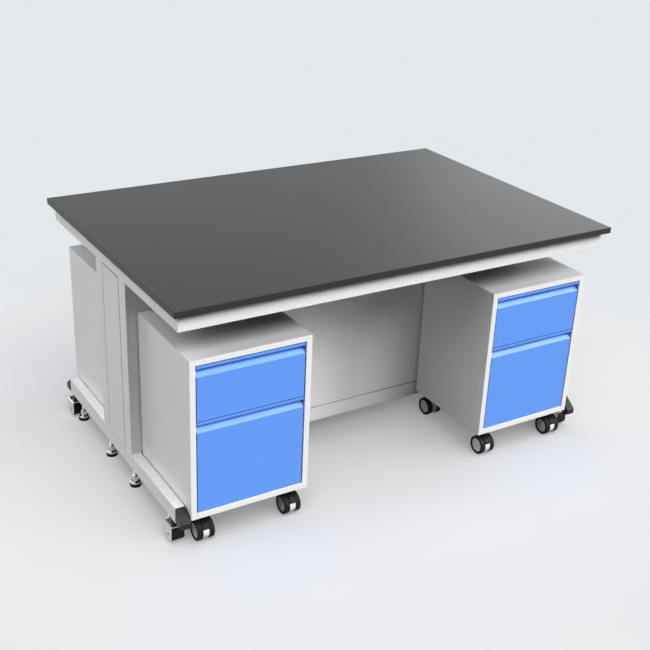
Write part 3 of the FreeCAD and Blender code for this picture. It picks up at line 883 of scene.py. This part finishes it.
def make_bench_fork():
    bm = bmesh.new()
    corner = [(FORK_HALF_LENGTH, FORK_BRIDGE), (FORK_HALF_LENGTH, FORK_BOTTOM), (0, FORK_BOTTOM)]
    right = eased(corner, FORK_CORNER, FORK_CORNER_STEPS)
    outline = right[:-1] + [(-y, z) for y, z in reversed(right[:-1])]
    for side in (-1, 1):
        plate = bmesh.new()
        add_prism(plate, outline, FORK_PLATE / 2, FORK_EDGE)
        middle = side * (FORK_HALF_GAP + FORK_PLATE / 2)
        bmesh.ops.translate(plate, verts=plate.verts, vec=(middle, 0, 0))
        scratch = bpy.data.meshes.new("plate")
        plate.to_mesh(scratch)
        plate.free()
        bm.from_mesh(scratch)
    outside = FORK_HALF_GAP + FORK_PLATE
    top = FORK_BRIDGE + FORK_PLATE
    section = [(-outside, FORK_BRIDGE), (-outside, top), (outside, top), (outside, FORK_BRIDGE)]
    add_bar(bm, eased(section, FORK_BEND), -FORK_HALF_LENGTH, FORK_HALF_LENGTH)
    return finish_mesh(bm, "fork")


def make_fork_boss():
    bm = bmesh.new()
    top = FORK_BRIDGE + FORK_PLATE
    middle = (top + RAIL_BOTTOM) / 2
    boss = [
        (0, top),
        (BOSS_RADIUS, top),
        (BOSS_RADIUS, middle),
        (BOSS_COLLAR_RADIUS, middle + BOSS_STEP),
        (BOSS_COLLAR_RADIUS, RAIL_BOTTOM),
        (0, RAIL_BOTTOM),
    ]
    add_lathe(bm, eased(boss, BOSS_EASE))
    return finish_mesh(bm, "fork_boss")


def make_bench_axle():
    """A bolt with its washer and hexagon head on the outer plate, drawn along -X."""
    bm = bmesh.new()
    outside = FORK_HALF_GAP + FORK_PLATE
    place = Matrix.Translation((0, 0, BENCH_AXLE_Z)) @ TO_LEFT
    shank = [(0, -outside), (BENCH_AXLE_RADIUS, -outside), (BENCH_AXLE_RADIUS, outside), (0, outside)]
    add_lathe(bm, shank, place)
    washer = [(0, outside), (WASHER_RADIUS, outside), (WASHER_RADIUS, outside + WASHER_HEIGHT)]
    add_lathe(bm, washer + [(0, outside + WASHER_HEIGHT)], place)
    add_hexagon(bm, BOLT_ACROSS, outside + WASHER_HEIGHT, outside + BOLT_HEAD, BOLT_CHAMFER, place)
    return finish_mesh(bm, "axle_bolt")


def make_bench_wheel():
    bm = bmesh.new()
    half_width = BENCH_WHEEL_WIDTH / 2
    tyre = tread_profile(BENCH_AXLE_Z, half_width, BENCH_HUB_RADIUS, BENCH_GROOVE_SHARES)
    hub = half_width - BENCH_HUB_RECESS
    inside = [
        (BENCH_HUB_RADIUS, hub),
        (BENCH_AXLE_RADIUS, hub),
        (BENCH_AXLE_RADIUS, -hub),
        (BENCH_HUB_RADIUS, -hub),
    ]
    add_lathe(bm, eased(tyre, TREAD_EDGE) + inside, TO_RIGHT)
    return finish_mesh(bm, "bench_wheel")


def make_bench_castors():
    places = []
    for x in (-BENCH_CASTOR_X, BENCH_CASTOR_X):
        for y in (-BENCH_CASTOR_Y, BENCH_CASTOR_Y):
            places.append((x, y, 0, 0 if x < 0 else math.pi))
    forks = set_out(make_bench_fork(), places, chrome)
    add_piece("castor_fork_set", forks, chrome, "bench", "bright_chrome", "bench_castor_forks")
    bosses = set_out(make_fork_boss(), places, plastic)
    add_piece("castor_boss_set", bosses, plastic, "bench", "black_plastic")
    bolts = set_out(make_bench_axle(), places, steel)
    add_piece("castor_bolt_set", bolts, steel, "bench", "plain_steel", "bench_castor_axles")
    wheel = make_bench_wheel()
    for row in ("front", "rear"):
        for end in ("left", "right"):
            node = f"{row}_{end}_bench_wheel"
            low, high = box_mm(node)
            place = Matrix.Translation((low + high) / 2)
            add_piece(f"{row}_{end}_fixed_wheel", placed(wheel, place), rubber, node, "black_rubber", node)


# Pedestals, drawn about the floor below their middle with the drawers towards -Y

HALF_WIDTH = PEDESTAL_WIDTH / 2
INNER_HALF = HALF_WIDTH - BOARD
BOARDS_TOP = PEDESTAL_TOP - TOP_SHEET
carcass_low, carcass_high = box_mm("front_left_carcass")
HALF_DEPTH = (carcass_high.y - carcass_low.y) / 2
FRONT_FACE = FRONT_SETBACK - HALF_DEPTH
FRONT_BACK = FRONT_FACE + PULL_BEVEL + PULL_FLOOR + PULL_STRIP
DRAWER_END = HALF_DEPTH - BACK_BOARD - DRAWER_BACK_GAP
BOX_HALF = INNER_HALF - RUNNER_SPACE
DRAWERS = {"upper": (OPENING_SPLIT, OPENING_TOP), "lower": (OPENING_LOW, OPENING_SPLIT)}
FRONTS = {
    "upper": (FRONT_SPLIT + FRONT_SPLIT_GAP, OPENING_TOP - FRONT_GAP),
    "lower": (OPENING_LOW + FRONT_GAP, FRONT_SPLIT - FRONT_SPLIT_GAP),
}


def make_carcass():
    bm = bmesh.new()
    for side in (-1, 1):
        xs = sorted((side * INNER_HALF, side * HALF_WIDTH))
        add_board(bm, (xs[0], -HALF_DEPTH, PEDESTAL_LOW), (xs[1], HALF_DEPTH, BOARDS_TOP))
    for low, high in ((PEDESTAL_LOW, OPENING_LOW), (OPENING_TOP, BOARDS_TOP)):
        add_board(bm, (-INNER_HALF, -HALF_DEPTH, low), (INNER_HALF, HALF_DEPTH, high))
    back = HALF_DEPTH - BACK_BOARD
    add_board(bm, (-INNER_HALF, back, OPENING_LOW), (INNER_HALF, HALF_DEPTH, OPENING_TOP))
    return finish_mesh(bm, "carcass")


def make_top_sheet():
    """The facing on top of a pedestal, one sheet over all its boards."""
    low, high = (-HALF_WIDTH, -HALF_DEPTH, BOARDS_TOP), (HALF_WIDTH, HALF_DEPTH, PEDESTAL_TOP)
    bm = bmesh.new()
    add_board(bm, low, high, edge=TOP_SHEET_EDGE)
    return finish_mesh(bm, "top_sheet")


def make_channels():
    """Runner channels, open towards the drawers."""
    bm = bmesh.new()
    inside = RUNNER_BAR_HEIGHT / 2 + RUNNER_CLEARANCE
    outside = inside + RUNNER_WALL
    for bottom, _ in DRAWERS.values():
        z = bottom + DRAWER_LIFT + RUNNER_OFFSET
        for side in (-1, 1):
            wall = side * INNER_HALF
            flange = side * (INNER_HALF - RUNNER_FLANGE)
            web = side * (INNER_HALF - RUNNER_WALL)
            section = [
                (wall, z - outside),
                (flange, z - outside),
                (flange, z - inside),
                (web, z - inside),
                (web, z + inside),
                (flange, z + inside),
                (flange, z + outside),
                (wall, z + outside),
            ]
            ease_edges(bm, add_bar(bm, section, FRONT_BACK, DRAWER_END), RUNNER_EDGE)
    return finish_mesh(bm, "channels")


def pull_levels(high):
    """The heights of the lip and of the strip's lower edge on a front with this top."""
    strip_bottom = high - PULL_STRIP_HEIGHT
    return strip_bottom - PULL_MOUTH, strip_bottom


def make_drawer_front(low, high):
    """A front whose sloping lip and recess under a narrow strip make the finger pull."""
    lip, strip_bottom = pull_levels(high)
    recess_floor, recess_top = lip + PULL_BEVEL, high - PULL_STRIP
    recess_back = FRONT_BACK - PULL_STRIP
    section = [
        (FRONT_FACE, low),
        (FRONT_FACE, lip),
        (FRONT_FACE + PULL_BEVEL, recess_floor),
        (recess_back, recess_floor),
        (recess_back, recess_top),
        (FRONT_FACE + PULL_STRIP, recess_top),
        (FRONT_FACE + PULL_STRIP, strip_bottom),
        (FRONT_FACE, strip_bottom),
        (FRONT_FACE, high),
        (FRONT_BACK, high),
        (FRONT_BACK, low),
    ]
    bm = bmesh.new()
    add_prism(bm, section, INNER_HALF - FRONT_GAP, FRONT_EDGE)
    return finish_mesh(bm, "drawer_front")


def make_front_shade_strips(low, high):
    """Dark navy strips on a front's sides and top, which paint the shade in the gaps round it; left out at
    the mouth of the pull.
    """
    half = INNER_HALF - FRONT_GAP
    face = FRONT_FACE + FRONT_SHADE_STRIP_INSET
    back = face + FRONT_SHADE_STRIP_DEPTH
    lip, strip_bottom = pull_levels(high)
    bm = bmesh.new()
    for side in (-1, 1):
        xs = sorted((side * half, side * (half + FRONT_SHADE_STRIP)))
        for bottom, top in ((low, lip), (strip_bottom, high)):
            add_board(bm, (xs[0], face, bottom), (xs[1], back, top), edge=FRONT_SHADE_STRIP_EDGE)
    add_board(bm, (-half, face, high), (half, back, high + FRONT_SHADE_STRIP), edge=FRONT_SHADE_STRIP_EDGE)
    return finish_mesh(bm, "front_seal")


def make_drawer_box(bottom, top):
    low, high = bottom + DRAWER_LIFT, top - DRAWER_HEADROOM
    inner = BOX_HALF - DRAWER_SIDE
    back = DRAWER_END - DRAWER_SIDE
    bm = bmesh.new()
    add_board(bm, (-BOX_HALF, FRONT_BACK, low), (-inner, DRAWER_END, high))
    add_board(bm, (inner, FRONT_BACK, low), (BOX_HALF, DRAWER_END, high))
    add_board(bm, (-inner, back, low), (inner, DRAWER_END, high))
    add_board(bm, (-inner, FRONT_BACK, low), (inner, back, low + DRAWER_FLOOR))
    return finish_mesh(bm, "drawer_box")


def make_drawer_bars(bottom):
    low = bottom + DRAWER_LIFT + RUNNER_OFFSET - RUNNER_BAR_HEIGHT / 2
    high = low + RUNNER_BAR_HEIGHT
    bm = bmesh.new()
    for side in (-1, 1):
        xs = sorted((side * BOX_HALF, side * (BOX_HALF + RUNNER_BAR_WIDTH)))
        add_board(bm, (xs[0], FRONT_BACK, low), (xs[1], DRAWER_END, high), edge=RUNNER_BAR_EDGE)
    return finish_mesh(bm, "drawer_bars")


# Castors of the pedestals, drawn about the stem's axis with the wheels trailing towards -Y

def arc(centre, radius, start, end):
    """Points along part of a circle."""
    points = []
    for step in range(ARC_STEPS + 1):
        angle = start + (end - start) * step / ARC_STEPS
        points.append((centre[0] + radius * math.cos(angle), centre[1] + radius * math.sin(angle)))
    return points


AXLE_POINT = (-CASTOR_TRAIL, CASTOR_RADIUS)


def make_housing():
    """The disc between the wheels, drawn up into the neck that carries the stem."""
    near, far = NECK_HALF + CASTOR_TRAIL, CASTOR_TRAIL - NECK_HALF
    start = math.acos(far / HOUSING_RADIUS)
    end = math.acos(near / HOUSING_RADIUS) + 2 * math.pi
    outline = arc(AXLE_POINT, HOUSING_RADIUS, start, end)
    outline += [(NECK_HALF, NECK_TOP), (-NECK_HALF, NECK_TOP)]
    bm = bmesh.new()
    add_prism(bm, outline, HOUSING_HALF_WIDTH, HOUSING_EDGE)
    return finish_mesh(bm, "housing")


def make_hood():
    """The black cover over the front of the housing, and the sleeve round its neck."""
    low, high = math.pi - HOOD_LOW_ANGLE, math.pi - HOOD_HIGH_ANGLE
    outline = arc(AXLE_POINT, HOOD_RADIUS, low, high) + arc(AXLE_POINT, HOOD_INSIDE, high, low)
    bm = bmesh.new()
    add_prism(bm, outline, HOUSING_HALF_WIDTH, HOOD_EDGE)
    half, top = NECK_HALF + SLEEVE, NECK_TOP + SLEEVE
    sleeve = [(-half, SLEEVE_LOW), (half, SLEEVE_LOW), (half, top), (-half, top)]
    add_prism(bm, sleeve, HOUSING_HALF_WIDTH + SLEEVE, SLEEVE)
    return finish_mesh(bm, "hood")


def make_castor_stem():
    bm = bmesh.new()
    profile = [
        (0, NECK_TOP),
        (CASTOR_BOSS_RADIUS, NECK_TOP),
        (CASTOR_BOSS_RADIUS, PEDESTAL_LOW),
        (CASTOR_STEM_RADIUS, PEDESTAL_LOW),
        (CASTOR_STEM_RADIUS, CASTOR_STEM_TOP),
        (0, CASTOR_STEM_TOP),
    ]
    add_lathe(bm, eased(profile, CASTOR_STEM_EASE))
    return finish_mesh(bm, "castor_stem")


def make_tyres():
    bm = bmesh.new()
    half_width = (CASTOR_HALF_WIDTH - CASTOR_HALF_GAP) / 2
    middle = (CASTOR_HALF_WIDTH + CASTOR_HALF_GAP) / 2
    tyre = eased(tread_profile(CASTOR_RADIUS, half_width, HUB_RADIUS, CASTOR_GROOVE_SHARES), TREAD_EDGE)
    for side in (-1, 1):
        add_lathe(bm, tyre, Matrix.Translation((side * middle, 0, 0)) @ TO_RIGHT)
    return finish_mesh(bm, "tyres")


def make_hubs():
    """Hub discs with a raised rim and a cap, and the axle that joins them."""
    bm = bmesh.new()
    inner = CASTOR_HALF_GAP + HUB_CLEARANCE
    rim = CASTOR_HALF_WIDTH - HUB_RECESS
    face = rim - HUB_RIM_DEPTH
    profile = [
        (0, inner),
        (HUB_RADIUS, inner),
        (HUB_RADIUS, rim),
        (HUB_RADIUS - HUB_RIM, rim),
        (HUB_RADIUS - HUB_RIM - HUB_RIM_DEPTH, face),
        (HUB_CAP_RADIUS, face),
        (HUB_CAP_RADIUS - HUB_CAP_CHAMFER, face + HUB_CAP_HEIGHT),
        (0, face + HUB_CAP_HEIGHT),
    ]
    disc = eased(profile, HUB_EASE)
    for turn in (TO_RIGHT, TO_LEFT):
        add_lathe(bm, disc, turn)
    axle_end = CASTOR_HALF_GAP + HUB_AXLE_LAP
    axle = [(0, -axle_end), (CASTOR_AXLE_RADIUS, -axle_end), (CASTOR_AXLE_RADIUS, axle_end), (0, axle_end)]
    add_lathe(bm, axle, TO_RIGHT)
    return finish_mesh(bm, "hubs")


def add_set(name, parts, place, node):
    """The pieces that stand together for one solid, whose body has the solid's name. The first of
    them replaces it."""
    pieces = {}
    for number, (part, (mesh, finish, slot)) in enumerate(parts.items()):
        nodes = [node] if number == 0 else []
        pieces[part] = add_piece(f"{name}_{part}", placed(mesh, place), finish, node, slot, *nodes)
    return pieces


def make_pedestals():
    """All four pedestals. Gives the pale pieces that face upwards, their tops and drawer boxes."""
    carcass, top_sheet, channels = make_carcass(), make_top_sheet(), make_channels()
    pale_pieces = []
    drawer_meshes = {}
    for level, (bottom, top) in DRAWERS.items():
        drawer_meshes[level] = {
            "front": (make_drawer_front(*FRONTS[level]), lacquer, "blue_front"),
            "box": (make_drawer_box(bottom, top), board, "white_board"),
            # Dark navy strips, painted shade in the gaps round the front.
            "seal": (make_front_shade_strips(*FRONTS[level]), navy_shade, "black_rubber"),
            "bars": (make_drawer_bars(bottom), steel, "plain_steel"),
        }
    fork_meshes = {
        "housing": (make_housing(), white, "castor_moulding"),
        "hood": (make_hood(), matt_black, "black_plastic"),
        "stem": (make_castor_stem(), matt_black, "black_plastic"),
    }
    wheel_meshes = {
        "tyres": (make_tyres(), rubber, "black_rubber"),
        "hubs": (make_hubs(), grey, "castor_moulding"),
    }
    for row, row_turn in (("front", 0), ("rear", math.pi)):
        for end, outward in (("left", -1), ("right", 1)):
            pedestal = f"{row}_{end}"
            low, high = box_mm(pedestal + "_carcass")
            middle = Vector(((low.x + high.x) / 2, (low.y + high.y) / 2, 0))
            place = Matrix.Translation(middle) @ Matrix.Rotation(row_turn, 4, "Z")
            body = pedestal + "_pedestal"
            cabinet, node = placed(carcass, place), pedestal + "_carcass"
            add_piece(pedestal + "_cabinet", cabinet, board, body, "white_board", node)
            sheet = placed(top_sheet, place)
            pale_pieces.append(add_piece(pedestal + "_top_sheet", sheet, board, body, "white_board"))
            add_piece(pedestal + "_channels", placed(channels, place), steel, body, "plain_steel")
            for level, parts in drawer_meshes.items():
                drawer = f"{pedestal}_{level}_drawer"
                pale_pieces.append(add_set(drawer, parts, place, drawer)["box"])
            for side, way in (("outer", outward), ("inner", -outward)):
                for corner, y_way, turn in (("front", -1, 0), ("rear", 1, math.pi)):
                    castor = f"{pedestal}_{side}_{corner}_castor"
                    stem = middle + Vector((way * CASTOR_X, y_way * CASTOR_Y, 0))
                    fork_place = Matrix.Translation(stem) @ Matrix.Rotation(turn, 4, "Z")
                    add_set(castor, fork_meshes, fork_place, castor + "_fork")
                    axle = stem + Vector((0, y_way * CASTOR_TRAIL, CASTOR_RADIUS))
                    add_set(castor, wheel_meshes, Matrix.Translation(axle), castor + "_wheels")
    return pale_pieces


# Floor, light and camera

FLOOR_HALF = 60000
SKY = (0.775, 0.807, 0.831)
FLOOR_DARK = (0.705, 0.712, 0.725)
FLOOR_LIGHT = (0.725, 0.732, 0.745)
FLOOR_GRAIN = 400
FLOOR_GLOW = (0.831, 0.840, 0.855)
FLOOR_GLOW_SHARE = 0.22
FLOOR_THROW = (0.05, 0.05, 0.05)
FLOOR_FADE_START = 1100
FLOOR_FADE_END = 2200
AMBIENT = 0.02

# Each lamp's bearing to the right of the bench's front and its height, in degrees,
# its strength on a surface that faces it, and its width in degrees
LAMPS = {
    "front_light": (55, 30, 0.93, 30),
    "high_light": (20, 46, 0.62, 30),
    "left_light": (-90, 40, 0.44, 50),
    "rear_light": (-168, 18, 0.58, 40),
    "sheen_light": (128, 12, 0.09, 30),
}
FLOOR_LAMP = (-12, 62, 1.27, 100)

# Lamps that a flag keeps off the worktop, where they would glare, and off the pedestals'
# tops and the drawers' boxes, which would be lit to full white when they are out
WORKTOP_FLAGS = ("front_light", "left_light", "rear_light")
PALE_FLAGS = ("front_light", "rear_light")


def eye_ray(tree):
    """One for a ray that shows the stage to the eye, straight or in a reflection."""
    path = tree.nodes.new("ShaderNodeLightPath")
    seen = path.outputs["Is Camera Ray"]
    for ray in ("Is Glossy Ray", "Is Transmission Ray"):
        either = tree.nodes.new("ShaderNodeMath")
        either.operation = "MAXIMUM"
        tree.links.new(seen, either.inputs[0])
        tree.links.new(path.outputs[ray], either.inputs[1])
        seen = either.outputs[0]
    return seen


def mix_shaders(tree, share, first, second):
    """Two shaders mixed by a share, which is a number or comes from another node."""
    mix = tree.nodes.new("ShaderNodeMixShader")
    if isinstance(share, float):
        mix.inputs["Fac"].default_value = share
    else:
        tree.links.new(share, mix.inputs["Fac"])
    tree.links.new(first, mix.inputs[1])
    tree.links.new(second, mix.inputs[2])
    return mix.outputs["Shader"]


def far_share(tree):
    """Nought on the floor near the bench, one where the floor has become the background."""
    place = tree.nodes.new("ShaderNodeTexCoord")
    away = tree.nodes.new("ShaderNodeVectorMath")
    away.operation = "LENGTH"
    tree.links.new(place.outputs["Object"], away.inputs[0])
    share = tree.nodes.new("ShaderNodeMapRange")
    share.interpolation_type = "SMOOTHSTEP"
    share.inputs["From Min"].default_value = FLOOR_FADE_START * MM
    share.inputs["From Max"].default_value = FLOOR_FADE_END * MM
    tree.links.new(away.outputs["Value"], share.inputs["Value"])
    return share.outputs["Result"]


def make_floor_finish():
    """A matt pale floor that keeps the shadow and throws little light back under the bench."""
    finish = bpy.data.materials.new("pale_floor")
    finish.use_nodes = True
    tree = finish.node_tree
    tree.nodes.remove(tree.nodes["Principled BSDF"])
    shown = tree.nodes.new("ShaderNodeBsdfDiffuse")
    tree.links.new(tint(tree, noise(tree, FLOOR_GRAIN), FLOOR_DARK, FLOOR_LIGHT), shown.inputs["Color"])
    glow = tree.nodes.new("ShaderNodeEmission")
    glow.inputs["Color"].default_value = (*FLOOR_GLOW, 1)
    thrown = tree.nodes.new("ShaderNodeBsdfDiffuse")
    thrown.inputs["Color"].default_value = (*FLOOR_THROW, 1)
    pale = mix_shaders(tree, FLOOR_GLOW_SHARE, shown.outputs["BSDF"], glow.outputs["Emission"])
    far = tree.nodes.new("ShaderNodeEmission")
    far.inputs["Color"].default_value = (*SKY, 1)
    faded = mix_shaders(tree, far_share(tree), pale, far.outputs["Emission"])
    surface = mix_shaders(tree, eye_ray(tree), thrown.outputs["BSDF"], faded)
    tree.links.new(surface, tree.nodes["Material Output"].inputs["Surface"])
    return finish


def add_lamp(name, setting, pieces, state):
    """A broad lamp that leaves out the pieces, or that lights them alone."""
    bearing, height, strength, width = setting
    lamp = bpy.data.objects.new(name, bpy.data.lights.new(name, "SUN"))
    bpy.context.scene.collection.objects.link(lamp)
    lamp.data.energy = strength * math.pi
    lamp.data.angle = math.radians(width)
    lamp.rotation_euler = (math.radians(90 - height), 0, math.radians(bearing))
    lit = bpy.data.collections.new(name + "_lit")
    for piece in pieces:
        lit.objects.link(piece)
    for entry in lit.collection_objects:
        entry.light_linking.link_state = state
    lamp.light_linking.receiver_collection = lit


def make_stage(worktop, pale_pieces):
    bm = bmesh.new()
    bmesh.ops.create_grid(bm, x_segments=1, y_segments=1, size=FLOOR_HALF * MM)
    mesh = bpy.data.meshes.new("floor")
    bm.to_mesh(mesh)
    bm.free()
    floor = bpy.data.objects.new("floor", mesh)
    bpy.context.scene.collection.objects.link(floor)
    mesh.materials.append(make_floor_finish())

    world = bpy.data.worlds.new("studio")
    bpy.context.scene.world = world
    world.use_nodes = True
    tree = world.node_tree
    light = tree.nodes["Background"]
    light.inputs["Color"].default_value = (1, 1, 1, 1)
    light.inputs["Strength"].default_value = AMBIENT
    shown = tree.nodes.new("ShaderNodeBackground")
    shown.inputs["Color"].default_value = (*SKY, 1)
    surface = mix_shaders(tree, eye_ray(tree), light.outputs["Background"], shown.outputs["Background"])
    tree.links.new(surface, tree.nodes["World Output"].inputs["Surface"])

    for name, setting in LAMPS.items():
        left_out = [floor]
        if name in WORKTOP_FLAGS:
            left_out.append(worktop)
        if name in PALE_FLAGS:
            left_out += pale_pieces
        add_lamp(name, setting, left_out, "EXCLUDE")
    add_lamp("floor_light", FLOOR_LAMP, [floor], "INCLUDE")


# The photograph's viewpoint
CAMERA_PLACE = Vector((-1739.6, -2784.4, 1868.9))
CAMERA_YAW = 0.561
CAMERA_PITCH = -0.4319
CAMERA_ROLL = 0.0435
FOCAL_PIXELS = 1082.4
FRAME_PIXELS = 650
SENSOR = 36


def make_camera():
    camera = bpy.data.objects.new("camera", bpy.data.cameras.new("camera"))
    bpy.context.scene.collection.objects.link(camera)
    camera.data.sensor_width = SENSOR
    camera.data.lens = FOCAL_PIXELS * SENSOR / FRAME_PIXELS
    level = math.cos(CAMERA_PITCH)
    ahead = Vector((math.sin(CAMERA_YAW) * level, math.cos(CAMERA_YAW) * level, math.sin(CAMERA_PITCH)))
    right = Vector((math.cos(CAMERA_YAW), -math.sin(CAMERA_YAW), 0))
    up = right.cross(ahead)
    rolled_right = math.cos(CAMERA_ROLL) * right + math.sin(CAMERA_ROLL) * up
    rolled_up = math.cos(CAMERA_ROLL) * up - math.sin(CAMERA_ROLL) * right
    turn = Matrix((rolled_right, rolled_up, -ahead)).transposed()
    camera.matrix_world = Matrix.Translation(CAMERA_PLACE * MM) @ turn.to_4x4()
    bpy.context.scene.camera = camera


worktop_piece = make_worktop()
make_top_frame()
for bench_end in ("left", "right"):
    make_end_frame(bench_end)
make_stretchers()
make_infill()
make_centre_panels()
make_rail_caps()
make_levelling_feet()
make_bench_castors()
tops_and_boxes = make_pedestals()
make_stage(worktop_piece, tops_and_boxes)
make_camera()
bpy.context.scene.view_settings.view_transform = "Standard"
